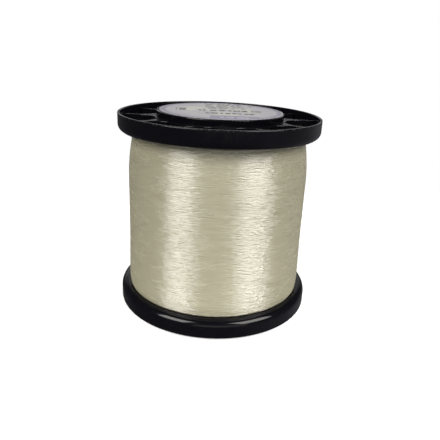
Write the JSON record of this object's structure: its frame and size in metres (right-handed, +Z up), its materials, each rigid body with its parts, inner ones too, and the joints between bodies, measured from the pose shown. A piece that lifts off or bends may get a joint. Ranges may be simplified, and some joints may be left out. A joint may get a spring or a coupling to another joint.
{
  "type": "fishing line spool",
  "caption": "Round spool with two ribbed dish flanges, wound full of translucent line, with a round paper label on the upper hub and a through bore for a spindle.",
  "frame": {"origin": "centre of the lower hub's face, which the spool stands on", "axes": "+Z up along the spool's axis, +X along one of the flanges' ribs"},
  "size_m": [0.16, 0.16, 0.1602],
  "materials": {
    "flange_plastic": "gloss",
    "core_plastic": "satin",
    "nylon_line": "satin",
    "label_paper": "satin"
  },
  "bodies": {
    "root": {"top_flange": "flange_plastic", "bottom_flange": "flange_plastic", "barrel": "core_plastic", "spindle_sleeve": "core_plastic", "line_winding": "nylon_line", "top_label": "label_paper"}
  },
  "joints": []
}
